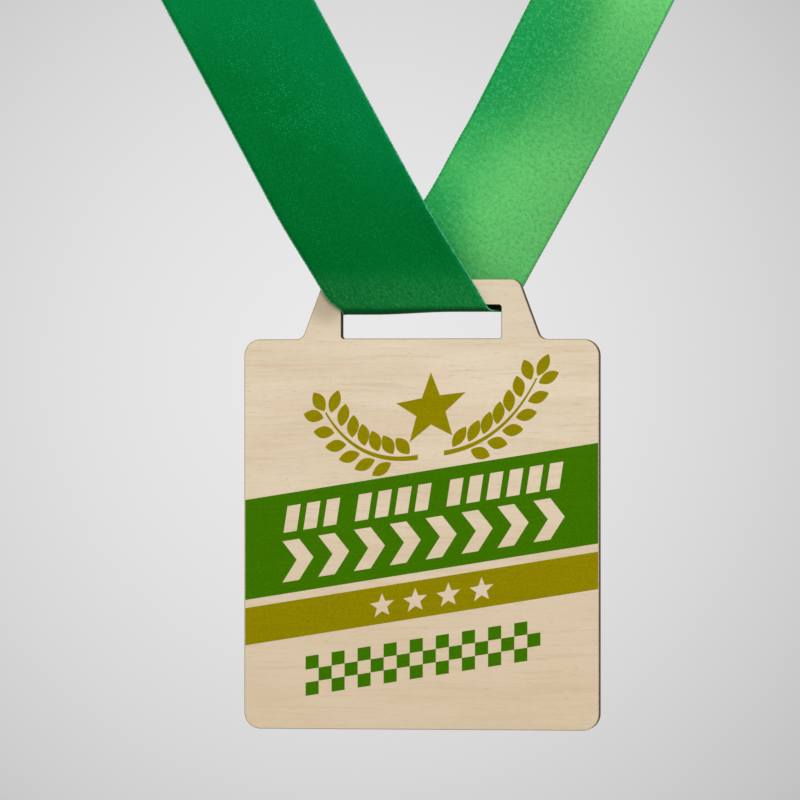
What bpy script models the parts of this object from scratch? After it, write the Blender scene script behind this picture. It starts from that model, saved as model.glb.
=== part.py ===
"""A wooden finisher's medal on a satin neck ribbon.

The medal is a 3 mm plate of three glued plies, cut to a square body with a tab and a slot.
One long ribbon passes through the slot, folds round the bar above it, rises in a V, goes over
the wearer's shoulders and is sewn end over end behind the neck.

Everything is designed around the pivot, the middle of the tab's top edge, where the medal
swings: X to the medal's right as it is looked at, Y backwards, Z up. The pivot is then placed
below and in front of the origin, which is the ribbon's inner face behind the neck.
"""

import bisect
import math

import bmesh
import bpy
from mathutils import Matrix, Vector

MM = 0.001

# Medal plate
PLATE_WIDTH = 65.25 * MM
PLATE_HEIGHT = 71.25 * MM
PLATE_CORNER = 3.0 * MM
TAB_TOP_WIDTH = 35.7 * MM
TAB_BASE_WIDTH = 43.8 * MM
TAB_HEIGHT = 10.95 * MM
TAB_TOP_CORNER = 2.0 * MM
TAB_BASE_FILLET = 1.7 * MM
BAR_HEIGHT = 4.69 * MM
SLOT_WIDTH = 29.45 * MM
SLOT_HEIGHT = 6.14 * MM
SLOT_CORNER = 0.5 * MM
PLATE_THICKNESS = 3.0 * MM
VENEER_THICKNESS = 0.6 * MM
GLUE_LINE = 0.05 * MM
ARC_STEP = math.radians(11.25)

# Ribbon
RIBBON_WIDTH = 25.0 * MM
RIBBON_THICKNESS = 0.35 * MM
RIBBON_CUT = 800.0 * MM
SEAM_LAP = 16.0 * MM
FOLD_SLANT = math.radians(28.75)
FRONT_SLANT = math.radians(28.95)
BACK_SLANT = math.radians(26.0)
UNDER_SLANT = math.radians(34.4)
FOLD_X = -0.63 * MM
FOLD_HALF_DEPTH = 1.975 * MM
FOLD_CORNER = 1.1 * MM
FOLD_BOTTOM_Z = -5.775 * MM
FOLD_SAG = 0.5 * MM
SLOT_END_CLEARANCE = 0.325 * MM
LEAN = math.radians(8.0)
LEAN_START = 8.0 * MM
LEAN_END = 35.0 * MM
V_LENGTH = 166.0 * MM
FRONT_CUP = 0.6 * MM
BACK_CUP = 1.1 * MM
BACK_TWIST = math.radians(15.8)
FRONT_TWIST = math.radians(4.0)
FRONT_SHIFT = 0.9 * MM
BACK_SHIFT = 1.2 * MM
BACK_BOW = 2.7 * MM
BACK_TUCK = 0.85 * MM

# Where the ribbon is cut into nodes, as heights about the pivot
WRAP_TOP = -0.5 * MM
BEND_BOTTOM = -0.2 * MM
BEND_TOP = 2.2 * MM
LEG_BOTTOM = 2.5 * MM
NODE_GAP = 0.3 * MM
SHOULDER_SHARE = 0.5

# Neck and seam, from the pivot to the middle of the seam
NAPE_BACK = 150.0 * MM
NAPE_UP = 225.0 * MM
SEAM_STEP = 0.7 * MM
STITCH_BOX_WIDTH = 11.0 * MM
STITCH_BOX_HEIGHT = 19.0 * MM
STITCH_BOX_CORNER = 1.0 * MM
THREAD_RADIUS = 0.15 * MM
THREAD_GAP = 0.3 * MM

COLUMNS = 8
FRONT, BACK = -1, 1

# Distance along the ribbon from the fold's bottom to where it is upright beside the bar
UNDERSIDE = FOLD_HALF_DEPTH - FOLD_CORNER + FOLD_CORNER * math.pi / 2


def material(name, colour, roughness):
    made = bpy.data.materials.new(name)
    made.use_nodes = True
    shader = made.node_tree.nodes["Principled BSDF"]
    shader.inputs["Base Color"].default_value = (*colour, 1.0)
    shader.inputs["Roughness"].default_value = roughness
    shader.inputs["Metallic"].default_value = 0.0
    made.diffuse_color = (*colour, 1.0)
    return made


def smooth(value):
    """0 below 0, 1 above 1, and an S curve between them."""
    value = min(max(value, 0.0), 1.0)
    return value * value * (3.0 - 2.0 * value)


# ---------------------------------------------------------------- the plate


def rounded_outline(corners):
    """A closed outline's points, from corners given as (x, z, radius)."""
    points = []
    for index, (x, z, radius) in enumerate(corners):
        corner = Vector((x, z))
        before = Vector(corners[index - 1][:2]) - corner
        after = Vector(corners[(index + 1) % len(corners)][:2]) - corner
        inside = before.angle(after)
        setback = radius / math.tan(inside / 2)
        start = corner + before.normalized() * setback
        middle = (before.normalized() + after.normalized()).normalized()
        centre = corner + middle * (radius / math.sin(inside / 2))
        turn = math.pi - inside
        if before.cross(after) > 0:
            turn = -turn
        steps = max(2, round(abs(turn) / ARC_STEP))
        for step in range(steps + 1):
            spoke = Matrix.Rotation(turn * step / steps, 2) @ (start - centre)
            points.append(centre + spoke)
    return points


def plate_outline():
    side, base, top = PLATE_WIDTH / 2, TAB_BASE_WIDTH / 2, TAB_TOP_WIDTH / 2
    shoulder = -TAB_HEIGHT
    right = [
        (side, shoulder - PLATE_HEIGHT, PLATE_CORNER),
        (side, shoulder, PLATE_CORNER),
        (base, shoulder, TAB_BASE_FILLET),
        (top, 0.0, TAB_TOP_CORNER),
    ]
    left = [(-x, z, radius) for x, z, radius in reversed(right)]
    return rounded_outline(right + left)


def slot_outline():
    side, top = SLOT_WIDTH / 2, -BAR_HEIGHT
    low = top - SLOT_HEIGHT
    return rounded_outline(
        [
            (side, low, SLOT_CORNER),
            (side, top, SLOT_CORNER),
            (-side, top, SLOT_CORNER),
            (-side, low, SLOT_CORNER),
        ]
    )


def ply(name, y, thickness, finish, parent, collection):
    """One ply of the plate: its outline and slot as a flat curve, extruded both ways from y."""
    curve = bpy.data.curves.new(name, "CURVE")
    curve.dimensions = "2D"
    curve.fill_mode = "BOTH"
    curve.extrude = thickness / 2
    for outline in (plate_outline(), slot_outline()):
        spline = curve.splines.new("POLY")
        spline.points.add(len(outline) - 1)
        for point, (x, z) in zip(spline.points, outline):
            point.co = (x, z, 0.0, 1.0)
        spline.use_cyclic_u = True
    curve.materials.append(finish)
    made = bpy.data.objects.new(name, curve)
    made.rotation_euler.x = math.pi / 2
    made.location = (0.0, y, BAR_HEIGHT)
    made.parent = parent
    collection.objects.link(made)
    return made


# ---------------------------------------------------------------- the ribbon in its V


def fold_profile(v):
    """(y, z) of the ribbon's middle surface, v along it from the fold's bottom, in front if v < 0."""
    side = BACK if v > 0 else FRONT
    flat = FOLD_HALF_DEPTH - FOLD_CORNER
    if abs(v) <= flat:
        return v, FOLD_BOTTOM_Z
    if abs(v) <= UNDERSIDE:
        angle = (abs(v) - flat) / FOLD_CORNER
        y = flat + FOLD_CORNER * math.sin(angle)
        return side * y, FOLD_BOTTOM_Z + FOLD_CORNER * (1 - math.cos(angle))
    rise = abs(v) - UNDERSIDE
    y, z = side * FOLD_HALF_DEPTH, FOLD_BOTTOM_Z + FOLD_CORNER + min(rise, LEAN_START)
    if rise > LEAN_START:
        radius = (LEAN_END - LEAN_START) / LEAN
        angle = (min(rise, LEAN_END) - LEAN_START) / radius
        y += radius * (1 - math.cos(angle))
        z += radius * math.sin(angle)
    if rise > LEAN_END:
        y += (rise - LEAN_END) * math.sin(LEAN)
        z += (rise - LEAN_END) * math.cos(LEAN)
    return y, z


def rise_at(height):
    """Distance along the ribbon from the fold's bottom to a height beside the bar."""
    return UNDERSIDE + height - (FOLD_BOTTOM_Z + FOLD_CORNER)


def leg_centre_x(v):
    in_fold = max(-UNDERSIDE, min(v, UNDERSIDE))
    x = FOLD_X + in_fold * math.tan(UNDER_SLANT)
    beyond = abs(v - in_fold)
    if v < in_fold:
        return x - FRONT_SHIFT * smooth(beyond / (18 * MM)) - beyond * math.tan(FRONT_SLANT)
    x += BACK_SHIFT * smooth(beyond / (4 * MM)) + BACK_BOW * smooth(beyond / (36 * MM))
    return x + beyond * math.tan(BACK_SLANT)


def leg_edges_x(v):
    """The ribbon's left and right edges, pressed in by the slot's ends where it goes through."""
    middle = leg_centre_x(v)
    half = RIBBON_WIDTH / 2 / math.cos(FOLD_SLANT)
    room = SLOT_WIDTH / 2 - SLOT_END_CLEARANCE
    in_slot = min(max((UNDERSIDE + 2.2 * MM - abs(v)) / (3.05 * MM), 0.0), 1.0) ** 3
    left, right = middle - half, middle + half
    if v > 0:
        beyond = v - UNDERSIDE
        left += BACK_TUCK * smooth(beyond / (18 * MM)) * (1 - smooth((beyond - 19.7 * MM) / (12 * MM)))
    return left + in_slot * max(0.0, -room - left), right - in_slot * max(0.0, right - room)


def v_point(v, across):
    """A point of the V, across from -1 at the left edge to 1 at the right edge."""
    left, right = leg_edges_x(v)
    y, z = fold_profile(v)
    z -= FOLD_SAG * smooth(0.4 - across) * smooth((FOLD_BOTTOM_Z + FOLD_CORNER - z) / FOLD_CORNER)
    x = left + (right - left) * (across + 1) / 2
    rise = abs(v) - rise_at(LEG_BOTTOM)
    held = smooth(rise / (30 * MM)) * (1 - smooth((rise - 80 * MM) / (60 * MM)))
    cup = BACK_CUP if v > 0 else FRONT_CUP
    y += held * cup * (1 - 2 * across * across)
    twist = BACK_TWIST if v > 0 else FRONT_TWIST
    from_middle = across * (right - left) / 2
    y -= held * from_middle * math.sin(twist)
    x -= held * from_middle * (1 - math.cos(twist))
    return Vector((x, y, z))


def v_row(v, square):
    """A row of points over the ribbon, level where square is 0 and square to its length at 1."""
    row = []
    for column in range(COLUMNS + 1):
        across = 2 * column / COLUMNS - 1
        skew = square * across * RIBBON_WIDTH / 2 * math.sin(FOLD_SLANT)
        row.append(v_point(v - skew, across))
    return row


def v_rows(v_from, v_to, steps):
    rows = []
    for step in range(steps + 1):
        v = v_from + (v_to - v_from) * step / steps
        square = smooth((abs(v) - rise_at(LEG_BOTTOM)) / (60 * MM))
        rows.append(v_row(v, square))
    return rows


# ---------------------------------------------------------------- the ribbon round the neck


def bezier(points, t):
    a, b, c, d = points
    u = 1 - t
    return a * u**3 + b * (3 * u * u * t) + c * (3 * u * t * t) + d * t**3


def bezier_line(points, steps=240):
    return [bezier(points, step / steps) for step in range(steps + 1)]


def line_length(line):
    return sum((b - a).length for a, b in zip(line, line[1:]))


def neck_line(side):
    """The ribbon's middle line from the top of the V to its end, as long as the cut allows."""
    top = side * V_LENGTH
    start = v_point(top, 0.0)
    along = (v_point(top + side * MM, 0.0) - start).normalized()
    y = NAPE_BACK - side * SEAM_STEP / 2
    nape = Vector((side * SEAM_LAP / 2, y, NAPE_UP))
    heading = Vector((-side, 0.0, 0.0))
    v_run = V_LENGTH / math.cos(FOLD_SLANT)
    wanted = RIBBON_CUT / 2 - v_run - SEAM_LAP
    low, high = 0.0, 300 * MM
    while high - low > 0.001 * MM:
        handle = (low + high) / 2
        line = bezier_line([start, start + along * handle, nape - heading * handle, nape])
        if line_length(line) < wanted:
            low = handle
        else:
            high = handle
    straight = [nape + heading * SEAM_LAP * step / 16 for step in range(1, 17)]
    return line + straight


def neck_frames(side):
    """(point, width direction) along the neck line, turning evenly from the V's to upright."""
    line = neck_line(side)
    row = v_row(side * V_LENGTH, 1.0)
    width = (row[-1] - row[0]).normalized()
    tangents = [(line[1] - line[0]).normalized()]
    widths = [width]
    for before, point, after in zip(line, line[1:], line[2:] + [line[-1]]):
        step = after - before
        tangent = step.normalized()
        turn = tangents[-1].rotation_difference(tangent)
        widths.append((turn @ widths[-1]).normalized())
        tangents.append(tangent)
    end = Vector((0.0, 0.0, -side))
    last, tangent = widths[-1], tangents[-1]
    twist = math.atan2(last.cross(end).dot(tangent), last.dot(end))
    total, run, frames = line_length(line) - SEAM_LAP, 0.0, []
    for index, point in enumerate(line):
        if index:
            run += (point - line[index - 1]).length
        share = smooth(run / total)
        spin = Matrix.Rotation(twist * share, 3, tangents[index])
        frames.append((run, point, spin @ widths[index]))
    return frames


def neck_rows(side, run_from, run_to, steps):
    frames = neck_frames(side)
    runs = [frame[0] for frame in frames]
    rows = []
    for step in range(steps + 1):
        wanted = run_from + (run_to - run_from) * step / steps
        after = min(max(bisect.bisect_left(runs, wanted), 1), len(runs) - 1)
        share = (wanted - runs[after - 1]) / (runs[after] - runs[after - 1])
        point = frames[after - 1][1].lerp(frames[after][1], share)
        width = frames[after - 1][2].lerp(frames[after][2], share)
        reach = [2 * column / COLUMNS - 1 for column in range(COLUMNS + 1)]
        rows.append([point + width * (across * RIBBON_WIDTH / 2) for across in reach])
    return rows


def ribbon_piece(name, rows, finish, parent, collection):
    """A stretch of ribbon: a grid laid over the rows, given its thickness by Solidify."""
    grid = bmesh.new()
    bmesh.ops.create_grid(grid, x_segments=COLUMNS, y_segments=len(rows) - 1, size=0.5)
    for vert in grid.verts:
        column = round((vert.co.x + 0.5) * COLUMNS)
        row = round((vert.co.y + 0.5) * (len(rows) - 1))
        vert.co = rows[row][column]
    mesh = bpy.data.meshes.new(name)
    grid.to_mesh(mesh)
    grid.free()
    mesh.shade_smooth()
    mesh.materials.append(finish)
    made = bpy.data.objects.new(name, mesh)
    made.parent = parent
    collection.objects.link(made)
    solidify = made.modifiers.new("thickness", "SOLIDIFY")
    solidify.thickness = RIBBON_THICKNESS
    solidify.offset = 0.0
    return made


def make_ribbon(satin, ribbon_root, wrap_root, collection):
    wrap = rise_at(WRAP_TOP)
    ribbon_piece("ribbon_fold", v_rows(-wrap, wrap, 28), satin, wrap_root, collection)
    neck_run = neck_frames(BACK)[-1][0]
    parting = neck_run * SHOULDER_SHARE
    for side, leg, hand in ((FRONT, "front", "left"), (BACK, "back", "right")):
        bend = v_rows(side * rise_at(BEND_BOTTOM), side * rise_at(BEND_TOP), 2)
        ribbon_piece(f"ribbon_{leg}_bend", bend, satin, ribbon_root, collection)
        rows = v_rows(side * rise_at(LEG_BOTTOM), side * (V_LENGTH - NODE_GAP), 48)
        ribbon_piece(f"ribbon_{hand}_leg", rows, satin, ribbon_root, collection)
        rows = neck_rows(side, 0.0, parting - NODE_GAP, 28)
        ribbon_piece(f"ribbon_{hand}_shoulder", rows, satin, ribbon_root, collection)
        rows = neck_rows(side, parting, neck_run, 28)
        ribbon_piece(f"ribbon_{hand}_nape", rows, satin, ribbon_root, collection)


def seam_thread(name, side, finish, parent, collection):
    """One of the lockstitch's two threads, a box of stitches over the lapped ends."""
    curve = bpy.data.curves.new(name, "CURVE")
    curve.dimensions = "3D"
    curve.bevel_depth = THREAD_RADIUS
    curve.bevel_resolution = 2
    wide, high = STITCH_BOX_WIDTH / 2, STITCH_BOX_HEIGHT / 2
    corners = ((wide, -high), (wide, high), (-wide, high), (-wide, -high))
    outline = rounded_outline([(x, z, STITCH_BOX_CORNER) for x, z in corners])
    lift = SEAM_STEP / 2 + RIBBON_THICKNESS / 2 + THREAD_GAP + THREAD_RADIUS
    spline = curve.splines.new("POLY")
    spline.points.add(len(outline) - 1)
    for point, (x, z) in zip(spline.points, outline):
        point.co = (x, NAPE_BACK + side * lift, NAPE_UP + z, 1.0)
    spline.use_cyclic_u = True
    curve.materials.append(finish)
    made = bpy.data.objects.new(name, curve)
    made.parent = parent
    collection.objects.link(made)


def pivot(name, location, parent, collection):
    empty = bpy.data.objects.new(name, None)
    empty.location = location
    empty.parent = parent
    collection.objects.link(empty)
    return empty


def main():
    for old in list(bpy.data.objects):
        bpy.data.objects.remove(old, do_unlink=True)
    medal = bpy.data.collections.new("medal")
    bpy.context.scene.collection.children.link(medal)

    face_maple = material("face_maple", (0.69, 0.57, 0.40), 0.55)
    core_wood = material("core_wood", (0.09, 0.035, 0.015), 0.75)
    satin = material("green_satin", (0.004, 0.20, 0.045), 0.40)
    thread = material("green_thread", (0.004, 0.16, 0.04), 0.60)

    inner_face = SEAM_STEP / 2 + RIBBON_THICKNESS / 2
    tab_top = Vector((0.0, inner_face - NAPE_BACK, -NAPE_UP))
    ribbon_root = pivot("ribbon_root", tab_top, None, medal)
    wrap_root = pivot("swing_pivot", tab_top, None, medal)
    plate_root = pivot("rock_pivot", Vector((0.0, 0.0, -BAR_HEIGHT)), wrap_root, medal)

    core = PLATE_THICKNESS - 2 * (VENEER_THICKNESS + GLUE_LINE)
    face = (PLATE_THICKNESS - VENEER_THICKNESS) / 2
    ply("front_veneer", -face, VENEER_THICKNESS, face_maple, plate_root, medal)
    ply("core_board", 0.0, core, core_wood, plate_root, medal)
    ply("back_veneer", face, VENEER_THICKNESS, face_maple, plate_root, medal)

    make_ribbon(satin, ribbon_root, wrap_root, medal)
    seam_thread("seam_needle_thread", BACK, thread, ribbon_root, medal)
    seam_thread("seam_bobbin_thread", FRONT, thread, ribbon_root, medal)


main()
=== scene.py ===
"""The finisher's medal on its satin neck ribbon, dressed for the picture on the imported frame."""

import bisect
import math

import bmesh
import bpy
import numpy as np
from mathutils import Matrix, Vector
from mathutils.geometry import tessellate_polygon


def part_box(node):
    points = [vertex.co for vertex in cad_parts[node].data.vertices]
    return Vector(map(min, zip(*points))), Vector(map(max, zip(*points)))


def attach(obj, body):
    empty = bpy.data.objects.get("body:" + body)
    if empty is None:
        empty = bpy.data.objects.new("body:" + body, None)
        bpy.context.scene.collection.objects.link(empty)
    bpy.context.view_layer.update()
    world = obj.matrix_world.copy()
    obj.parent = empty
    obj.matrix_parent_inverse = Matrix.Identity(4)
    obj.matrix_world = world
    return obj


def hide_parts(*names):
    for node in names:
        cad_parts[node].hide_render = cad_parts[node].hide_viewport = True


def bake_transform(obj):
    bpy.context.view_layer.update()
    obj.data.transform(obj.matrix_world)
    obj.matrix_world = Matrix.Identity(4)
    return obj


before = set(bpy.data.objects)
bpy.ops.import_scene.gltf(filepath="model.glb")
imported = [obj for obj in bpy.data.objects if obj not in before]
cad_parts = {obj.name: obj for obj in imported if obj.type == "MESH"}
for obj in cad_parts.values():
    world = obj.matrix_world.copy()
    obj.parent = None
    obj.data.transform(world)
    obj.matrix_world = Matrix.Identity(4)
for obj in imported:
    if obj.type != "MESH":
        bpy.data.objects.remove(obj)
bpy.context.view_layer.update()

MM = 0.001

# ---------------------------------------------------------------- what the frame says

core_low, core_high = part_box("core_board")
veneer_low, veneer_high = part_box("front_veneer")
back_low, back_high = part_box("back_veneer")
PIVOT = Vector(((core_low.x + core_high.x) / 2, (core_low.y + core_high.y) / 2, core_high.z))

# Medal plate, about the pivot
PLATE_WIDTH = 65.25 * MM
PLATE_HEIGHT = 71.25 * MM
PLATE_CORNER = 3.0 * MM
TAB_TOP_WIDTH = 35.7 * MM
TAB_BASE_WIDTH = 43.8 * MM
TAB_HEIGHT = 10.95 * MM
TAB_TOP_CORNER = 2.0 * MM
TAB_BASE_FILLET = 1.7 * MM
BAR_HEIGHT = 4.69 * MM
SLOT_WIDTH = 29.45 * MM
SLOT_HEIGHT = 6.14 * MM
SLOT_CORNER = 0.5 * MM
KERF_EASE = 0.07 * MM

# Ribbon
RIBBON_WIDTH = 25.0 * MM
RIBBON_THICKNESS = 0.35 * MM
RIBBON_CUT = 800.0 * MM
SEAM_LAP = 16.0 * MM
FOLD_SLANT = math.radians(28.75)
FRONT_SLANT = math.radians(28.95)
BACK_SLANT = math.radians(26.0)
UNDER_SLANT = math.radians(34.4)
FOLD_X = -0.63 * MM
FOLD_HALF_DEPTH = 1.975 * MM
FOLD_CORNER = 1.1 * MM
FOLD_BOTTOM_Z = -5.775 * MM
FOLD_SAG = 0.5 * MM
SLOT_END_CLEARANCE = 0.325 * MM
LEAN = math.radians(8.0)
LEAN_START = 8.0 * MM
LEAN_END = 35.0 * MM
V_LENGTH = 166.0 * MM
FRONT_CUP = 0.6 * MM
BACK_CUP = 1.1 * MM
BACK_TWIST = math.radians(15.8)
FRONT_TWIST = math.radians(4.0)
FRONT_SHIFT = 0.9 * MM
BACK_SHIFT = 1.2 * MM
BACK_BOW = 2.7 * MM
BACK_TUCK = 0.85 * MM
LEG_BOTTOM = 2.5 * MM
NAPE_BACK = 150.0 * MM
NAPE_UP = 225.0 * MM
SEAM_STEP = 0.7 * MM
STITCH_BOX_WIDTH = 11.0 * MM
STITCH_BOX_HEIGHT = 19.0 * MM
STITCH_PITCH = 2.3 * MM
THREAD_RADIUS = 0.14 * MM
SELVEDGE_INSET = 0.08 * MM
PICOT_PITCH = 0.72 * MM
STRAND_SIDES = 7

COLUMNS = 32
FRONT, BACK = -1, 1
UNDERSIDE = FOLD_HALF_DEPTH - FOLD_CORNER + FOLD_CORNER * math.pi / 2

# Print: places in bare millimetres from the tab's top edge at the plate's middle, all climbing at one slope
PRINT_SLOPE = 0.1624
INK_THICKNESS = 0.02 * MM
LAUREL_FOOT = (1.8, -33.3)
GREEN_BAND = (-35.1, -53.4)
TICK_ROW = (-42.25, -37.45)
TICKS_LEFT = -25.4
TICK_WIDTH = 2.45
TICK_PITCH = 3.66
TICK_GAP = 2.2
CHEVRON_ROW = (-51.30, -43.75)
CHEVRONS_LEFT = -25.6
CHEVRON_PITCH = 6.60
OLIVE_BAND = (-54.9, -61.7)
STAR_ROW = -58.45
STARS_LEFT = -7.2
STAR_PITCH = 6.1
CHEQUER_START = (-21.3, -72.7)
CHEQUER_SIZE = 2.4


def smooth(value):
    value = min(max(value, 0.0), 1.0)
    return value * value * (3.0 - 2.0 * value)


# ---------------------------------------------------------------- node helpers


class Nodes:
    """A node tree with short ways to add and join nodes."""

    def __init__(self, tree):
        self.tree = tree

    def node(self, kind, inputs=(), **settings):
        made = self.tree.nodes.new(kind)
        for key, value in settings.items():
            setattr(made, key, value)
        for key, value in dict(inputs).items():
            self.set(made.inputs[key], value)
        return made

    def set(self, socket, value):
        if isinstance(value, bpy.types.NodeSocket):
            self.tree.links.new(value, socket)
        else:
            socket.default_value = value

    def math(self, operation, a, b=0.0, c=0.0):
        return self.node("ShaderNodeMath", {0: a, 1: b, 2: c}, operation=operation).outputs[0]

    def times(self, a, b):
        return self.math("MULTIPLY", a, b)

    def plus(self, a, b):
        return self.math("ADD", a, b)

    def mix(self, share, a, b, blend="MIX"):
        made = self.node("ShaderNodeMix", data_type="RGBA", blend_type=blend)
        made.clamp_factor = True
        self.set(made.inputs["Factor"], share)
        self.set(made.inputs["A"], a)
        self.set(made.inputs["B"], b)
        return made.outputs["Result"]

    def tint(self, colour, where, share, tone):
        """The colour with a share of another tone mixed in where the mask is 1."""
        return self.mix(self.times(where, share), colour, tone + (1,))

    def remap(self, value, a, b, c=0.0, d=1.0, smoothly=True):
        made = self.node("ShaderNodeMapRange", {"Value": value})
        made.interpolation_type = "SMOOTHSTEP" if smoothly else "LINEAR"
        for key, number in zip(("From Min", "From Max", "To Min", "To Max"), (a, b, c, d)):
            self.set(made.inputs[key], number)
        return made.outputs["Result"]

    def noise(self, vector, scale=1.0, detail=2.0, rough=0.5):
        made = self.node("ShaderNodeTexNoise", {"Vector": vector})
        made.noise_dimensions = "3D"
        made.inputs["Scale"].default_value = scale
        made.inputs["Detail"].default_value = detail
        made.inputs["Roughness"].default_value = rough
        return made.outputs[0]

    def attribute(self, name, output="Fac"):
        return self.node("ShaderNodeAttribute", attribute_name=name).outputs[output]

    def combine(self, x, y, z=0.0):
        return self.node("ShaderNodeCombineXYZ", {"X": x, "Y": y, "Z": z}).outputs[0]

    def separate(self, vector):
        return self.node("ShaderNodeSeparateXYZ", {"Vector": vector}).outputs

    def bump(self, height, strength, distance):
        made = self.node("ShaderNodeBump", {"Height": height})
        made.inputs["Strength"].default_value = strength
        made.inputs["Distance"].default_value = distance
        return made.outputs["Normal"]


class Shader(Nodes):
    """A Principled material with its nodes."""

    def __init__(self, name):
        self.material = bpy.data.materials.new(name)
        self.material.use_nodes = True
        super().__init__(self.material.node_tree)
        self.bsdf = self.tree.nodes["Principled BSDF"]

    def dress(self, colour, rough, relief, strength, depth):
        """Base colour, roughness and a bump from the relief, its depth in millimetres."""
        self.set(self.bsdf.inputs["Base Color"], colour)
        self.set(self.bsdf.inputs["Roughness"], rough)
        self.set(self.bsdf.inputs["Normal"], self.bump(relief, strength, depth * MM))


def grey(value):
    return (value, value, value, 1.0)


def stretched(shader, t, s, across, along, seed, detail=3.0, rough=0.55):
    """Noise over (t, s) in millimetres, with its own fineness each way."""
    place = shader.combine(shader.times(t, across), shader.times(s, along), seed)
    return shader.noise(place, detail=detail, rough=rough)


def around(shader, t, s, middle, spread):
    """1 at a place, easing to 0 at an oval round it."""
    across = shader.math("DIVIDE", shader.math("SUBTRACT", t, middle[0]), spread[0])
    along = shader.math("DIVIDE", shader.math("SUBTRACT", s, middle[1]), spread[1])
    square = shader.plus(shader.times(across, across), shader.times(along, along))
    return shader.remap(square, 1.7, 0.0)


# ---------------------------------------------------------------- wood and ink


def wood_grain(shader):
    """(place, overall tone 0..1, fine line 0..1, fleck 0..1) over the veneer, from its own millimetres."""
    place = shader.attribute("place", "Vector")
    x, y, z = shader.separate(place)
    sway = stretched(shader, x, z, 0.022, 0.05, 0.0, detail=2.0, rough=0.5)
    level = shader.plus(z, shader.times(shader.math("SUBTRACT", sway, 0.5), 4.2))
    broad = stretched(shader, x, level, 0.030, 0.17, 3.1)
    line = stretched(shader, x, level, 0.055, 1.55, 7.7, detail=5.0, rough=0.66)
    fleck = stretched(shader, x, level, 0.62, 4.6, 1.3, detail=2.0)
    return place, broad, line, fleck


def maple(name):
    """Pale sanded veneer: soft broad bands, fine lines along the grain, short flecks, a scorched rim;
    painted shade darkens it towards the bottom and over the tab's top, and the ribbon's painted shadow lies
    beside the slot.
    """
    shader = Shader(name)
    place, broad, line, fleck = wood_grain(shader)
    x, y, z = shader.separate(place)
    rosy = stretched(shader, x, z, 0.10, 0.55, 15.0, detail=2.0)
    # Painted shade: the veneer darkens steadily towards the plate's bottom.
    lower_shade = shader.remap(z, -10.0, -82.0, smoothly=False)
    # Painted shadow: the ribbon's soft shadow on the tab, below and left of the slot's left end.
    ribbon_shadow = around(shader, x, z, (-17.6, -4.2), (3.6, 3.8))
    ribbon_shadow = shader.times(ribbon_shadow, shader.remap(broad, 0.2, 0.8, 0.75, 1.0))
    deeper, paler = (0.682, 0.556, 0.392, 1), (0.738, 0.628, 0.468, 1)
    colour = shader.mix(shader.remap(broad, 0.30, 0.70), deeper, paler)
    for where, share, tone in (
        (shader.remap(rosy, 0.50, 0.66), 0.30, (0.745, 0.575, 0.425)),
        (shader.remap(rosy, 0.46, 0.32), 0.26, (0.700, 0.610, 0.400)),
        (shader.remap(line, 0.48, 0.70), 0.54, (0.60, 0.450, 0.300)),
        (shader.remap(fleck, 0.58, 0.76), 0.66, (0.54, 0.395, 0.260)),
        (shader.remap(fleck, 0.40, 0.24), 0.42, (0.80, 0.70, 0.54)),
        # painted shade towards the bottom
        (lower_shade, 0.50, (0.60, 0.442, 0.270)),
        # painted shade over the tab's upper part, where the ribbon hangs in front
        (shader.remap(z, -12.0, -8.0), 0.42, (0.615, 0.510, 0.372)),
        # the ribbon's painted shadow
        (ribbon_shadow, 0.85, (0.375, 0.300, 0.195)),
        (shader.remap(shader.attribute("scorch"), 0.05, 0.95), 0.8, (0.26, 0.165, 0.095)),
    ):
        colour = shader.tint(colour, where, share, tone)
    shader.bsdf.inputs["Specular IOR Level"].default_value = 0.30
    relief = shader.plus(line, shader.times(fleck, 0.35))
    shader.dress(colour, shader.remap(line, 0.3, 0.8, 0.50, 0.66), relief, 0.16, 0.05)
    return shader.material


def scorched(name, outside, inside):
    """A laser-cut edge with striations across the sheet's thickness, darker inside the slot than outside:
    painted shade in the slot's recess.
    """
    shader = Shader(name)
    place = shader.attribute("place", "Vector")
    # Painted shade: the slot's walls take the darker colour.
    colour = shader.mix(shader.attribute("slot_wall"), outside, inside)
    x, y, z = shader.separate(place)
    along_cut = shader.plus(x, z)
    streak = stretched(shader, along_cut, y, 2.4, 0.45, 5.0, rough=0.5)
    mixed = shader.mix(shader.remap(streak, 0.68, 0.35), colour, grey(0.45), blend="MULTIPLY")
    shader.bsdf.inputs["Specular IOR Level"].default_value = 0.22
    shader.dress(mixed, shader.remap(streak, 0.3, 0.7, 0.62, 0.85), streak, 0.35, 0.06)
    return shader.material


def ink(name, colour, tint):
    """Flat UV-printed ink: the grain just shows through it, and fine mottling over it."""
    shader = Shader(name)
    place, broad, line, fleck = wood_grain(shader)
    speck = shader.noise(place, scale=3.2)
    dark = tuple(c * 0.86 for c in colour) + (1,)
    light = tuple(c * 1.12 for c in colour) + (1,)
    tone = shader.plus(shader.times(speck, 0.7), shader.times(line, 0.3))
    mixed = shader.mix(shader.remap(tone, 0.34, 0.66), dark, light)
    mixed = shader.tint(mixed, shader.remap(fleck, 0.62, 0.80), 0.10, (0.45, 0.40, 0.10))
    shader.bsdf.inputs["Specular IOR Level"].default_value = 0.20
    shader.bsdf.inputs["Specular Tint"].default_value = tint
    relief = shader.plus(speck, shader.times(line, 0.8))
    shader.dress(mixed, 0.55, relief, 0.14, 0.05)
    return shader.material


# ---------------------------------------------------------------- satin and thread


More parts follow.
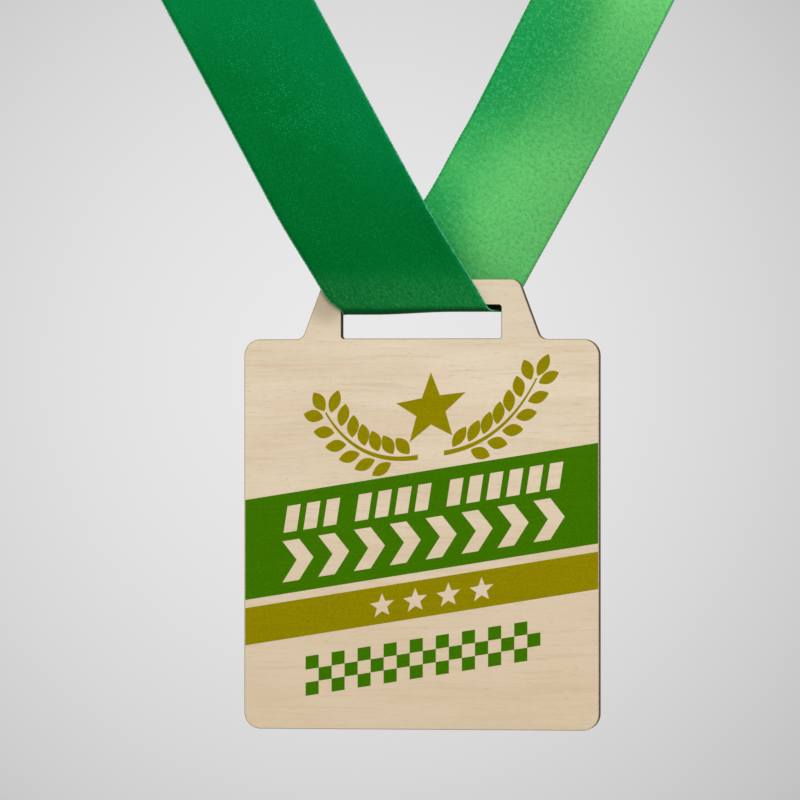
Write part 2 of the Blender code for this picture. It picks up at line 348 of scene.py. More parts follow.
def satin_shader(name, tint, ior, anisotropic):
    """A satin face: its floats lie along the ribbon, so its sheen spreads across the ribbon's width."""
    shader = Shader(name)
    shader.bsdf.inputs["Specular IOR Level"].default_value = 0.5
    shader.bsdf.inputs["Specular Tint"].default_value = tint
    shader.bsdf.inputs["IOR"].default_value = ior
    shader.bsdf.inputs["Anisotropic"].default_value = anisotropic
    tangent = shader.node("ShaderNodeTangent", direction_type="UV_MAP", uv_map="cloth_uv")
    shader.set(shader.bsdf.inputs["Tangent"], tangent.outputs[0])
    return shader


def cloth_place(shader):
    """Millimetres across and along the ribbon, and up from the pivot."""
    t, s, unused = shader.separate(shader.attribute("cloth", "Vector"))
    return t, s, shader.attribute("height")


def binding_points(shader, t, s, height):
    """A staggered lattice of small points, the weave's binding points painted pale as glints, uneven in
    strength and strongest halfway up the front leg, where a painted sparkle lies.
    """
    turned = shader.combine(shader.plus(t, s), shader.math("SUBTRACT", t, s))
    lattice = shader.node("ShaderNodeTexVoronoi", {"Vector": turned}, voronoi_dimensions="2D")
    lattice.inputs["Scale"].default_value = 1.30
    lattice.inputs["Randomness"].default_value = 0.62
    chance = shader.separate(lattice.outputs["Color"])[0]
    dot = shader.remap(lattice.outputs["Distance"], 0.40, 0.06)
    dot = shader.times(dot, shader.remap(chance, 0.20, 0.95, 0.10, 1.0))
    group = stretched(shader, t, s, 0.30, 0.20, 14.0, detail=2.0)
    sparkle = shader.math("MAXIMUM", around(shader, t, height, (2.0, 36.0), (11.0, 17.0)), 0.35)
    return shader.times(dot, shader.times(shader.remap(group, 0.34, 0.60, 0.25, 1.0), sparkle))


def satin_face(name):
    """The ribbon's outer face: deep green with small pale binding points, ribbed where it turns under;
    patches of painted sheen and painted shade lie over it, with painted glints on the points, painted
    highlights and shade on the ribs and painted shade in the crease.
    """
    shader = satin_shader(name, (0.0, 1.0, 0.30, 1.0), 1.45, 0.6)
    t, s, height = cloth_place(shader)
    warp = stretched(shader, t, s, 4.2, 0.28, 0.0)
    cloud = stretched(shader, t, s, 0.75, 0.75, 9.0)
    broad = stretched(shader, t, s, 0.16, 0.07, 4.0, detail=1.0)
    rib = stretched(shader, t, s, 1.9, 0.16, 2.0, detail=2.0)
    weave = stretched(shader, t, s, 2.9, 1.9, 17.0, detail=2.0, rough=0.6)
    pinch = stretched(shader, t, s, 3.6, 1.6, 21.0, detail=2.0)
    dot = binding_points(shader, t, s, height)
    tone = shader.plus(shader.times(warp, 0.45), shader.times(cloud, 0.55))
    deeper, paler = (0.0004, 0.112, 0.0135, 1), (0.0006, 0.144, 0.0205, 1)
    colour = shader.mix(shader.remap(tone, 0.34, 0.66), deeper, paler)
    # Painted sheen: the leg grows lighter high up.
    colour = shader.mix(shader.remap(height, 28.0, 54.0, 0.0, 0.60), colour, (0.0008, 0.168, 0.0400, 1))
    # Painted sheen down the leg's right side, from about 19 mm up.
    right = shader.times(shader.remap(t, -4.0, 13.0), shader.remap(height, 7.0, 19.0))
    colour = shader.tint(colour, right, 0.60, (0.0008, 0.180, 0.0440))
    # Painted shade down the leg's left side, weaker above about 34 mm.
    left = shader.times(shader.remap(t, 7.0, -13.0), shader.remap(height, 51.0, 34.0, 0.45, 1.0))
    colour = shader.tint(colour, left, 0.95, (0.0003, 0.080, 0.0068))
    # Painted shade over the leg's lower part, its upper edge rising to the left.
    slanted = shader.plus(height, shader.times(t, 0.6))
    low = shader.times(shader.remap(slanted, 36.0, 12.0), shader.remap(height, -4.0, 6.0))
    colour = shader.tint(colour, low, 0.75, (0.0002, 0.083, 0.0065))
    colour = shader.mix(shader.remap(weave, 0.52, 0.32, 0.0, 0.40), colour, (0.0002, 0.074, 0.0065, 1))
    colour = shader.mix(shader.remap(weave, 0.50, 0.72, 0.0, 0.34), colour, (0.0015, 0.195, 0.0480, 1))
    # The binding points: a real pattern, painted paler as glints on their floats.
    colour = shader.mix(dot, colour, (0.0070, 0.262, 0.0950, 1))
    # Where it turns under: real ribs, coloured with a painted highlight over them, painted shade in the
    # pinches and painted highlights on the ridges.
    turn = shader.remap(height, 2.5, -2.5)
    ribbed = shader.times(turn, shader.remap(rib, 0.38, 0.62, 0.25, 1.0))
    colour = shader.tint(colour, ribbed, 0.36, (0.0230, 0.188, 0.0470))
    pinch_shade = shader.times(turn, shader.remap(pinch, 0.52, 0.32, 0.0, 0.80))
    colour = shader.mix(pinch_shade, colour, (0.0060, 0.066, 0.0100, 1))
    ridge_highlight = shader.times(turn, shader.remap(pinch, 0.52, 0.70, 0.0, 0.34))
    colour = shader.mix(ridge_highlight, colour, (0.0400, 0.250, 0.0800, 1))
    # Painted shade in the crease where the ribbon turns under the bar.
    colour = shader.tint(colour, shader.attribute("crease_shade"), 0.72, (0.0006, 0.040, 0.006))
    relief = shader.plus(shader.times(cloud, 0.5), shader.times(warp, 0.2))
    relief = shader.plus(relief, shader.times(dot, 0.12))
    relief = shader.plus(relief, shader.times(broad, 1.6))
    relief = shader.plus(relief, shader.times(shader.times(rib, shader.attribute("fold")), 0.3))
    shader.dress(colour, shader.remap(cloud, 0.25, 0.75, 0.42, 0.50), relief, 0.5, 0.16)
    return shader.material


def satin_back(name):
    """The ribbon's inner face: the lighter side of the weave, its lightness partly painted sheen, with a
    cloudy painted sheen, painted glows, painted shade and the front leg's painted shadow.
    """
    shader = satin_shader(name, (0.10, 1.0, 0.32, 1.0), 1.75, 0.55)
    t, s, height = cloth_place(shader)
    warp = stretched(shader, t, s, 4.2, 0.35, 20.0)
    cloud = stretched(shader, t, s, 1.25, 1.25, 29.0, detail=2.0, rough=0.5)
    patch = stretched(shader, t, s, 0.30, 0.22, 24.0, detail=2.0)
    grain = stretched(shader, t, s, 3.1, 2.6, 31.0, detail=1.0)
    weft = stretched(shader, t, s, 0.9, 5.0, 37.0, detail=1.0)
    # Painted sheen: broad clouds between a deeper and a paler tone.
    deeper, paler = (0.0640, 0.350, 0.0800, 1), (0.0800, 0.388, 0.0960, 1)
    colour = shader.mix(shader.remap(patch, 0.30, 0.70), deeper, paler)
    # Painted sheen: two pale glows on the leg's right, one low and one high.
    low_glow = around(shader, t, height, (11.0, 14.0), (16.0, 18.0))
    colour = shader.tint(colour, low_glow, 0.85, (0.1300, 0.480, 0.1280))
    high_glow = around(shader, t, height, (14.0, 54.0), (14.0, 20.0))
    colour = shader.mix(high_glow, colour, (0.1500, 0.540, 0.1450, 1))
    # Painted shade: a band across the leg, a patch by its upper left edge and a strip low down its left
    # half.
    band = around(shader, t, height, (0.0, 37.0), (40.0, 12.5))
    corner = around(shader, t, height, (-14.0, 43.0), (14.5, 18.0))
    # Painted shadow of the front leg, along its right edge low on the back leg.
    beside = shader.plus(t, shader.times(height, 0.75))
    behind = shader.times(shader.remap(beside, 8.2, -0.5), shader.remap(height, 24.0, 14.0))
    side = shader.times(shader.remap(t, 0.0, -12.0), shader.remap(height, 34.0, 24.0))
    for deep, share in ((band, 0.27), (side, 0.30), (corner, 1.0), (behind, 0.84)):
        colour = shader.tint(colour, deep, share, (0.0010, 0.206, 0.0440))
    tone = shader.plus(shader.times(grain, 0.45), shader.times(cloud, 0.40))
    tone = shader.plus(tone, shader.times(weft, 0.15))
    # Fine mottling: painted shade in the hollows where the tone is low, painted highlight on the tops where
    # it is high.
    shaded_hollows = shader.remap(tone, 0.51, 0.33, 0.0, 0.52, smoothly=False)
    colour = shader.mix(shaded_hollows, colour, (0.0030, 0.160, 0.0270, 1))
    tops = shader.remap(tone, 0.49, 0.67, 0.0, 0.42, smoothly=False)
    colour = shader.mix(tops, colour, (0.1100, 0.600, 0.1900, 1))
    # Painted shade: the leg darkens almost to black where it is seen through the slot.
    in_slot = shader.remap(height, -1.0, -2.6, 0.0, 0.94)
    colour = shader.mix(in_slot, colour, (0.0006, 0.018, 0.0040, 1))
    relief = shader.plus(shader.times(cloud, 0.5), shader.times(warp, 0.12))
    relief = shader.plus(relief, shader.times(patch, 1.6))
    shader.dress(colour, shader.remap(cloud, 0.25, 0.75, 0.48, 0.58), relief, 0.45, 0.15)
    return shader.material


def yarn(name, dark, light, rim=None, pitch=1.3):
    """Matt twisted thread, with another colour, a painted highlight, on the side that faces away from the
    cloth.
    """
    shader = Shader(name)
    t, s, unused = shader.separate(shader.attribute("cloth", "Vector"))
    twist = stretched(shader, t, s, 2.0, pitch, 6.0, detail=2.0, rough=0.5)
    colour = shader.mix(shader.remap(twist, 0.35, 0.65), dark, light)
    if rim is not None:
        # Painted highlight on the strand's outward side.
        outwards = shader.remap(shader.attribute("outwards"), 0.15, 0.70)
        outwards = shader.times(outwards, shader.remap(twist, 0.3, 0.6, 0.45, 1.0))
        colour = shader.mix(outwards, colour, rim)
    shader.bsdf.inputs["Specular IOR Level"].default_value = 0.3
    shader.bsdf.inputs["Specular Tint"].default_value = (0.4, 1.0, 0.55, 1.0)
    shader.dress(colour, 0.6, twist, 0.4, 0.05)
    return shader.material


# ---------------------------------------------------------------- mesh helpers


def put(name, points, faces, finish, shade=True):
    """A mesh object from points about the pivot, placed in the frame."""
    mesh = bpy.data.meshes.new(name)
    shifted = np.asarray(points, float) + np.array(PIVOT)
    mesh.from_pydata(shifted.tolist(), [], faces)
    mesh.update()
    for finish_one in finish if isinstance(finish, (list, tuple)) else (finish,):
        mesh.materials.append(finish_one)
    mesh.polygons.foreach_set("use_smooth", [shade] * len(mesh.polygons))
    made = bpy.data.objects.new(name, mesh)
    bpy.context.scene.collection.objects.link(made)
    return made


def vector_attribute(made, name, values):
    layer = made.data.attributes.new(name, "FLOAT_VECTOR", "POINT")
    layer.data.foreach_set("vector", np.asarray(values, np.float32).ravel())


def float_attribute(made, name, values):
    layer = made.data.attributes.new(name, "FLOAT", "POINT")
    layer.data.foreach_set("value", np.asarray(values, np.float32))


def uv_from(made, values):
    """A UV map named cloth_uv from one (u, v) per vertex."""
    layer = made.data.uv_layers.new(name="cloth_uv")
    index = np.zeros(len(made.data.loops), np.int64)
    made.data.loops.foreach_get("vertex_index", index)
    layer.data.foreach_set("uv", np.asarray(values, np.float32)[index].ravel())


# ---------------------------------------------------------------- the plate


def rounded_outline(corners, steps):
    """A closed outline's points, from corners given as (x, z, radius)."""
    points = []
    for index, (x, z, radius) in enumerate(corners):
        corner = Vector((x, z))
        before = Vector(corners[index - 1][:2]) - corner
        after = Vector(corners[(index + 1) % len(corners)][:2]) - corner
        inside = before.angle(after)
        setback = radius / math.tan(inside / 2)
        start = corner + before.normalized() * setback
        middle = (before.normalized() + after.normalized()).normalized()
        centre = corner + middle * (radius / math.sin(inside / 2))
        turn = math.pi - inside
        if before.cross(after) > 0:
            turn = -turn
        for step in range(steps + 1):
            spoke = Matrix.Rotation(turn * step / steps, 2) @ (start - centre)
            points.append(tuple(centre + spoke))
    return points


def plate_outline(steps=12):
    side, base, top = PLATE_WIDTH / 2, TAB_BASE_WIDTH / 2, TAB_TOP_WIDTH / 2
    shoulder = -TAB_HEIGHT
    right = [
        (side, shoulder - PLATE_HEIGHT, PLATE_CORNER),
        (side, shoulder, PLATE_CORNER),
        (base, shoulder, TAB_BASE_FILLET),
        (top, 0.0, TAB_TOP_CORNER),
    ]
    left = [(-x, z, radius) for x, z, radius in reversed(right)]
    return densify(rounded_outline(right + left, steps))


def slot_outline(steps=6):
    side, top = SLOT_WIDTH / 2, -BAR_HEIGHT
    low = top - SLOT_HEIGHT
    corners = [
        (side, low, SLOT_CORNER),
        (side, top, SLOT_CORNER),
        (-side, top, SLOT_CORNER),
        (-side, low, SLOT_CORNER),
    ]
    return densify(rounded_outline(corners, steps))


def densify(outline, longest=2.5 * MM):
    """The same outline with its long straights cut into short ones."""
    dense = []
    for a, b in zip(outline, outline[1:] + outline[:1]):
        parts = max(1, math.ceil(math.dist(a, b) / longest))
        for k in range(parts):
            dense.append((a[0] + (b[0] - a[0]) * k / parts, a[1] + (b[1] - a[1]) * k / parts))
    return dense


def inset(outline, depth):
    """The outline moved in by depth along its own normals, point for point (inwards for a left turn)."""
    ring = np.array(outline)
    ahead, behind = np.roll(ring, -1, 0) - ring, ring - np.roll(ring, 1, 0)
    ahead /= np.linalg.norm(ahead, axis=1)[:, None]
    behind /= np.linalg.norm(behind, axis=1)[:, None]
    along = ahead + behind
    along /= np.linalg.norm(along, axis=1)[:, None]
    normal = np.stack([-along[:, 1], along[:, 0]], 1)
    area = 0.5 * np.sum(ring[:, 0] * np.roll(ring[:, 1], -1) - np.roll(ring[:, 0], -1) * ring[:, 1])
    return ring + normal * depth * (1 if area > 0 else -1)


def ply(name, y_front, y_back, finishes, ease_front, ease_back, rim=0.09 * MM):
    """One ply as a closed mesh: ringed rims on both faces carry the scorch, walls between them."""
    outer, slot = plate_outline(), slot_outline()
    points, scorch, faces, kinds, slotted = [], [], [], [], []

    def ring(outline, depth, y, burnt):
        moved = inset(outline, depth)
        start = len(points)
        points.extend((x, y, z) for x, z in moved)
        scorch.extend([burnt] * len(moved))
        slotted.extend([1.0 if outline is slot else 0.0] * len(moved))
        return start, len(moved)

    inner_rings = []
    for outline, way in ((outer, 1.0), (slot, -1.0)):
        rings = []
        for y, ease, into in ((y_front, ease_front, 1), (y_back, ease_back, -1)):
            face_rings = [
                ring(outline, way * (ease + 2.2 * rim), y, 0.0),
                ring(outline, way * (ease + 0.75 * rim), y, 0.28),
                ring(outline, way * ease, y, 0.8),
            ]
            if ease > 0:
                face_rings.append(ring(outline, way * ease * 0.3, y + into * ease * 0.3, 1.0))
                face_rings.append(ring(outline, 0.0, y + into * ease, 1.0))
            rings.append(face_rings)
        chain = rings[0] + rings[1][::-1]
        for (a, count), (b, unused) in zip(chain, chain[1:]):
            for k in range(count):
                n = (k + 1) % count
                faces.append((a + k, a + n, b + n, b + k))
                wall = points[a][1] != points[b][1]
                kinds.append(1 if wall and min(scorch[a], scorch[b]) > 0.7 else 0)
        inner_rings.append((rings[0][0], rings[1][0]))
    for which in (0, 1):
        loops = [inner_rings[0][which], inner_rings[1][which]]
        flat = [[Vector((points[s + k][0], points[s + k][2], 0)) for k in range(c)] for s, c in loops]
        order = [s + k for s, c in loops for k in range(c)]
        for triangle in tessellate_polygon(flat):
            faces.append(tuple(order[k] for k in triangle))
            kinds.append(0)
    made = put(name, points, faces, finishes, shade=False)
    made.data.polygons.foreach_set("material_index", kinds)
    vector_attribute(made, "place", np.array(points) / MM)
    float_attribute(made, "scorch", scorch)
    float_attribute(made, "slot_wall", slotted)
    tidy_normals(made)
    return made


def tidy_normals(made):
    work = bmesh.new()
    work.from_mesh(made.data)
    bmesh.ops.recalc_face_normals(work, faces=work.faces)
    work.to_mesh(made.data)
    work.free()
    made.data.update()


# ---------------------------------------------------------------- the print


def on_print(x, z):
    """A print point: x from the plate's middle, z measured there, in millimetres, moved up the slope."""
    return x * MM, (z + PRINT_SLOPE * x) * MM


def print_film(name, shapes, finish):
    """Ink in front of the veneer: filled outlines, given in print millimetres, holes where they nest."""
    curve = bpy.data.curves.new(name, "CURVE")
    curve.dimensions = "2D"
    curve.fill_mode = "BOTH"
    curve.extrude = INK_THICKNESS / 2
    for shape in shapes:
        spline = curve.splines.new("POLY")
        spline.points.add(len(shape) - 1)
        for point, (x, z) in zip(spline.points, shape):
            px, pz = on_print(x, z)
            point.co = (px, pz, 0.0, 1.0)
        spline.use_cyclic_u = True
    made = bpy.data.objects.new(name, curve)
    bpy.context.scene.collection.objects.link(made)
    made.rotation_euler.x = math.pi / 2
    front = veneer_low.y - INK_THICKNESS / 2
    made.location = (PIVOT.x, front, PIVOT.z)
    bpy.context.view_layer.update()
    mesh = bpy.data.meshes.new_from_object(made.evaluated_get(bpy.context.evaluated_depsgraph_get()))
    mesh.name = name
    mesh.transform(made.matrix_world)
    bpy.data.objects.remove(made, do_unlink=True)
    mesh.materials.clear()
    mesh.materials.append(finish)
    film = bpy.data.objects.new(name, mesh)
    bpy.context.scene.collection.objects.link(film)
    where = np.zeros(len(mesh.vertices) * 3, np.float32)
    mesh.vertices.foreach_get("co", where)
    vector_attribute(film, "place", (where.reshape(-1, 3) - np.array(PIVOT)) / MM)
    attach(film, "medal")
    return film


def band(top, bottom):
    """A band right across the plate between two print heights, its ends upright at the plate's sides."""
    side = PLATE_WIDTH / 2 / MM - 0.17
    return [(-side, bottom), (side, bottom), (side, top), (-side, top)]


def chevron(x, low, high, wide, stroke):
    """A bold chevron pointing right."""
    middle, depth = (low + high) / 2, wide - stroke
    back = [(x, low), (x + stroke, low), (x + stroke + depth, middle)]
    return back + [(x + stroke, high), (x, high), (x + depth, middle)]


def tick(x, low, high, wide, slant):
    return [(x, low), (x + wide, low), (x + wide + slant, high), (x + slant, high)]


def star(x, z, outer, inner, points=5):
    shape = []
    for k in range(2 * points):
        radius = outer if k % 2 == 0 else inner
        angle = math.pi / 2 + math.pi * k / points
        shape.append((x + radius * math.cos(angle), z + radius * math.sin(angle)))
    return shape


def leaf(x, z, length, width, heading, steps=14):
    """A pointed leaf growing from (x, z) along heading, with its two sides as arcs."""
    shape = []
    for side in (1, -1):
        for k in range(steps):
            share = k / steps if side == 1 else 1 - k / steps
            out = side * width / 2 * math.sin(math.pi * share) ** 0.8 if 0 < share < 1 else 0.0
            along = share * length
            shape.append((
                x + along * math.cos(heading) - out * math.sin(heading),
                z + along * math.sin(heading) + out * math.cos(heading),
            ))
    return shape


def stem(points, width):
    """A tapering strip along points."""
    line = np.array(points)
    along = np.gradient(line, axis=0)
    along /= np.linalg.norm(along, axis=1)[:, None]
    normal = np.stack([-along[:, 1], along[:, 0]], 1)
    half = np.linspace(width / 2, width / 6, len(line))[:, None]
    return [tuple(p) for p in line + normal * half] + [tuple(p) for p in (line - normal * half)[::-1]]


def laurel_and_star(x, z):
    """Two laurel sprays sweeping out and up on either side of a star, from a foot at (x, z)."""
    shapes = [star(x, z + 9.3, 6.7, 2.8)]
    for side in (-1, 1):
        spine = []
        for k in range(41):
            u, w = k / 40, 1 - k / 40
            out = 2 * u * w * 13.5 + u * u * 19.4 + w * w * 2.4
            up = 2 * u * w * 0.9 + u * u * 11.8 + w * w * 0.9
            spine.append((x + side * out, z + up))
        shapes.append(stem(spine, 0.9))
        for k in range(3, 40, 6):
            (ax, az), (bx, bz) = spine[k - 1], spine[k + 1]
            heading = math.atan2(bz - az, bx - ax)
            for turn in (1, -1):
                inner = turn == side
                if k < 6 and not inner:
                    continue
                away = heading + turn * math.pi / 2
                px = spine[k][0] + 0.80 * math.cos(away)
                pz = spine[k][1] + 0.80 * math.sin(away)
                length, opening = (4.1, 0.85) if inner else (3.9, 0.70)
                shapes.append(leaf(px, pz, length, 2.2, heading + turn * opening))
        (ax, az), (bx, bz) = spine[-2], spine[-1]
        heading = math.atan2(bz - az, bx - ax)
        shapes.append(leaf(bx + 0.4 * math.cos(heading), bz + 0.4 * math.sin(heading), 4.2, 2.2, heading))
    return shapes


# ---------------------------------------------------------------- the ribbon


def fold_profile(v):
    side = BACK if v > 0 else FRONT
    flat = FOLD_HALF_DEPTH - FOLD_CORNER
    if abs(v) <= flat:
        return v, FOLD_BOTTOM_Z
    if abs(v) <= UNDERSIDE:
        angle = (abs(v) - flat) / FOLD_CORNER
        y = flat + FOLD_CORNER * math.sin(angle)
        return side * y, FOLD_BOTTOM_Z + FOLD_CORNER * (1 - math.cos(angle))
    rise = abs(v) - UNDERSIDE
    y, z = side * FOLD_HALF_DEPTH, FOLD_BOTTOM_Z + FOLD_CORNER + min(rise, LEAN_START)
    if rise > LEAN_START:
        radius = (LEAN_END - LEAN_START) / LEAN
        angle = (min(rise, LEAN_END) - LEAN_START) / radius
        y += radius * (1 - math.cos(angle))
        z += radius * math.sin(angle)
    if rise > LEAN_END:
        y += (rise - LEAN_END) * math.sin(LEAN)
        z += (rise - LEAN_END) * math.cos(LEAN)
    return y, z


def rise_at(height):
    return UNDERSIDE + height - (FOLD_BOTTOM_Z + FOLD_CORNER)


def leg_centre_x(v):
    in_fold = max(-UNDERSIDE, min(v, UNDERSIDE))
    x = FOLD_X + in_fold * math.tan(UNDER_SLANT)
    beyond = abs(v - in_fold)
    if v < in_fold:
        return x - FRONT_SHIFT * smooth(beyond / (18 * MM)) - beyond * math.tan(FRONT_SLANT)
    x += BACK_SHIFT * smooth(beyond / (4 * MM)) + BACK_BOW * smooth(beyond / (36 * MM))
    return x + beyond * math.tan(BACK_SLANT)


def leg_edges_x(v):
    middle = leg_centre_x(v)
    half = RIBBON_WIDTH / 2 / math.cos(FOLD_SLANT)
    room = SLOT_WIDTH / 2 - SLOT_END_CLEARANCE
    in_slot = min(max((UNDERSIDE + 2.2 * MM - abs(v)) / (3.05 * MM), 0.0), 1.0) ** 3
    left, right = middle - half, middle + half
    if v > 0:
        beyond = v - UNDERSIDE
        left += BACK_TUCK * smooth(beyond / (18 * MM)) * (1 - smooth((beyond - 19.7 * MM) / (12 * MM)))
    return left + in_slot * max(0.0, -room - left), right - in_slot * max(0.0, right - room)


def v_point(v, across):
    left, right = leg_edges_x(v)
    y, z = fold_profile(v)
    z -= FOLD_SAG * smooth(0.4 - across) * smooth((FOLD_BOTTOM_Z + FOLD_CORNER - z) / FOLD_CORNER)
    x = left + (right - left) * (across + 1) / 2
    rise = abs(v) - rise_at(LEG_BOTTOM)
    held = smooth(rise / (30 * MM)) * (1 - smooth((rise - 80 * MM) / (60 * MM)))
    cup = BACK_CUP if v > 0 else FRONT_CUP
    y += held * cup * (1 - 2 * across * across)
    twist = BACK_TWIST if v > 0 else FRONT_TWIST
    from_middle = across * (right - left) / 2
    y -= held * from_middle * math.sin(twist)
    x -= held * from_middle * (1 - math.cos(twist))
    return Vector((x, y, z))


def square_at(v):
    return smooth((abs(v) - rise_at(LEG_BOTTOM)) / (60 * MM))


def reach(columns):
    return [2 * column / columns - 1 for column in range(columns + 1)]


def v_row(v, square, columns=COLUMNS):
    slope = math.sin(FOLD_SLANT)
    return [v_point(v - square * across * RIBBON_WIDTH / 2 * slope, across) for across in reach(columns)]


def bezier(points, t):
    a, b, c, d = points
    u = 1 - t
    return a * u**3 + b * (3 * u * u * t) + c * (3 * u * t * t) + d * t**3


def line_length(line):
    return sum((b - a).length for a, b in zip(line, line[1:]))


def neck_line(side):
    top = side * V_LENGTH
    start = v_point(top, 0.0)
    along = (v_point(top + side * MM, 0.0) - start).normalized()
    y = NAPE_BACK - side * SEAM_STEP / 2
    nape = Vector((side * SEAM_LAP / 2, y, NAPE_UP))
    heading = Vector((-side, 0.0, 0.0))
    v_run = V_LENGTH / math.cos(FOLD_SLANT)
    wanted = RIBBON_CUT / 2 - v_run - SEAM_LAP
    low, high = 0.0, 300 * MM
    while high - low > 0.001 * MM:
        handle = (low + high) / 2
        points = [start, start + along * handle, nape - heading * handle, nape]
        line = [bezier(points, step / 240) for step in range(241)]
        if line_length(line) < wanted:
            low = handle
        else:
            high = handle
    return line + [nape + heading * SEAM_LAP * step / 16 for step in range(1, 17)]


def neck_frames(side):
    line = neck_line(side)
    row = v_row(side * V_LENGTH, 1.0)
    tangents = [(line[1] - line[0]).normalized()]
    widths = [(row[-1] - row[0]).normalized()]
    for before, point, after in zip(line, line[1:], line[2:] + [line[-1]]):
        tangent = (after - before).normalized()
        turn = tangents[-1].rotation_difference(tangent)
        widths.append((turn @ widths[-1]).normalized())
        tangents.append(tangent)
    end = Vector((0.0, 0.0, -side))
    last, tangent = widths[-1], tangents[-1]
    twist = math.atan2(last.cross(end).dot(tangent), last.dot(end))
    total, run, frames = line_length(line) - SEAM_LAP, 0.0, []
    for index, point in enumerate(line):
        if index:
            run += (point - line[index - 1]).length
        spin = Matrix.Rotation(twist * smooth(run / total), 3, tangents[index])
        frames.append((run, point, spin @ widths[index]))
    return frames


def frame_at(frames, runs, wanted):
    after = min(max(bisect.bisect_left(runs, wanted), 1), len(runs) - 1)
    share = (wanted - runs[after - 1]) / (runs[after] - runs[after - 1])
    (unused, point, width), (unused, next_point, next_width) = frames[after - 1 : after + 1]
    return point.lerp(next_point, share), width.lerp(next_width, share)


def ribbon_rows():
    """Rows of middle-surface points from the left end round to the right end, with (t, s) for each."""
    slant = math.tan(FOLD_SLANT)
    stops = []
    v = 0.0
    while v < V_LENGTH - 0.01 * MM:
        stops.append(v)
        if v < 6 * MM:
            v += 0.14 * MM
        else:
            v += (0.45 if v < 110 * MM else 0.8) * MM
    stops.append(V_LENGTH)
    vs = [-v for v in stops[::-1]] + stops[1:]
    across = reach(COLUMNS)
    middle, cloth = [], []
    for v in vs:
        square = square_at(v)
        middle.append([tuple(p) for p in v_row(v, square)])
        cloth.append([
            (a * RIBBON_WIDTH / 2, v / math.cos(FOLD_SLANT) + (1 - square) * a * RIBBON_WIDTH / 2 * slant)
            for a in across
        ])
    for side in (FRONT, BACK):
        frames = neck_frames(side)
        runs = [one[0] for one in frames]
        count = round(runs[-1] / (1.3 * MM))
        rows, marks = [], []
        for step in range(1, count + 1):
            run = runs[-1] * step / count
            point, width = frame_at(frames, runs, run)
            rows.append([tuple(point + width * (a * RIBBON_WIDTH / 2)) for a in across])
            s = side * (V_LENGTH / math.cos(FOLD_SLANT) + run)
            marks.append([(a * RIBBON_WIDTH / 2, s) for a in across])
        if side == FRONT:
            middle, cloth = rows[::-1] + middle, marks[::-1] + cloth
        else:
            middle, cloth = middle + rows, cloth + marks
    return np.array(middle), np.array(cloth)


def surface_normals(grid):
    along = np.gradient(grid, axis=0)
    over = np.gradient(grid, axis=1)
    normal = np.cross(over, along)
    return normal / np.linalg.norm(normal, axis=2)[:, :, None]


def ribbon_mesh(grid, normal, cloth, finish):
    """The ribbon as a closed sheet: two faces, rounded edges and closed ends."""
    rows, columns = grid.shape[:2]
    half = RIBBON_THICKNESS / 2
    width = grid[:, -1] - grid[:, 0]
    width /= np.linalg.norm(width, axis=1)[:, None]
    thick = np.full(columns, half)
    thick[0] = thick[-1] = half * 0.72
    face = grid + normal * thick[None, :, None]
    back = grid - normal * thick[None, :, None]
    left_edge = grid[:, 0] - width * half * 0.55
    right_edge = grid[:, -1] + width * half * 0.55
    ring = np.concatenate([face, right_edge[:, None], back[:, ::-1], left_edge[:, None]], axis=1)
    marks = np.concatenate([cloth, cloth[:, -1:], cloth[:, ::-1], cloth[:, :1]], axis=1)
    count = ring.shape[1]
    points = ring.reshape(-1, 3)
    index = np.arange(rows * count).reshape(rows, count)
    right = np.roll(index, -1, axis=1)
    quads = np.stack([index[:-1], right[:-1], right[1:], index[1:]], axis=-1).reshape(-1, 4)
    faces = quads.tolist()
    for end in (0, rows - 1):
        f, b = index[end, :columns], index[end, columns + 1 : 2 * columns + 1][::-1]
        for k in range(columns - 1):
            faces.append((f[k], f[k + 1], b[k + 1], b[k]))
        faces.append((f[-1], index[end, columns], b[-1]))
        faces.append((f[0], b[0], index[end, -1]))
    faces = [tuple(int(k) for k in one) for one in faces]
    made = put("satin_ribbon", points, faces, finish)
    kinds = np.zeros((rows - 1, count), np.int32)
    kinds[:, : columns - 1] = 1
    kinds = kinds.ravel().tolist()
    made.data.polygons.foreach_set("material_index", kinds + [0] * (len(faces) - len(kinds)))
    flat_marks = marks.reshape(-1, 2) / MM
    vector_attribute(made, "cloth", np.concatenate([flat_marks, np.zeros((len(flat_marks), 1))], axis=1))
    uv_from(made, flat_marks / 100.0)
    low = np.array([smooth((2.0 * MM - p[2]) / (4.5 * MM)) for p in points])
    float_attribute(made, "fold", low)
    float_attribute(made, "height", [p[2] / MM for p in points])
    # Marks the crease under the bar, for its painted shade.
    float_attribute(made, "crease_shade", [smooth((-5.10 * MM - p[2]) / (0.55 * MM)) for p in points])
    tidy_normals(made)
    return made


def tube(line, radii, sides=8):
    """Points and faces of a round strand along a line of points, its radius given at each."""
    line = np.asarray(line, float)
    along = np.gradient(line, axis=0)
    along /= np.linalg.norm(along, axis=1)[:, None]
    up = np.array([0.0, 1.0, 0.0]) if abs(along[0][1]) < 0.8 else np.array([1.0, 0.0, 0.0])
    points = []
    for index, (point, tangent) in enumerate(zip(line, along)):
        up = up - tangent * np.dot(up, tangent)
        up /= np.linalg.norm(up)
        other = np.cross(tangent, up)
        for k in range(sides):
            angle = 2 * math.pi * k / sides
            points.append(point + radii[index] * (math.cos(angle) * up + math.sin(angle) * other))
    faces = []
    for row in range(len(line) - 1):
        for k in range(sides):
            n = (k + 1) % sides
            a, b = row * sides, (row + 1) * sides
            faces.append((a + k, a + n, b + n, b + k))
    faces.append(tuple(range(sides))[::-1])
    last = (len(line) - 1) * sides
    faces.append(tuple(range(last, last + sides)))
    return points, faces


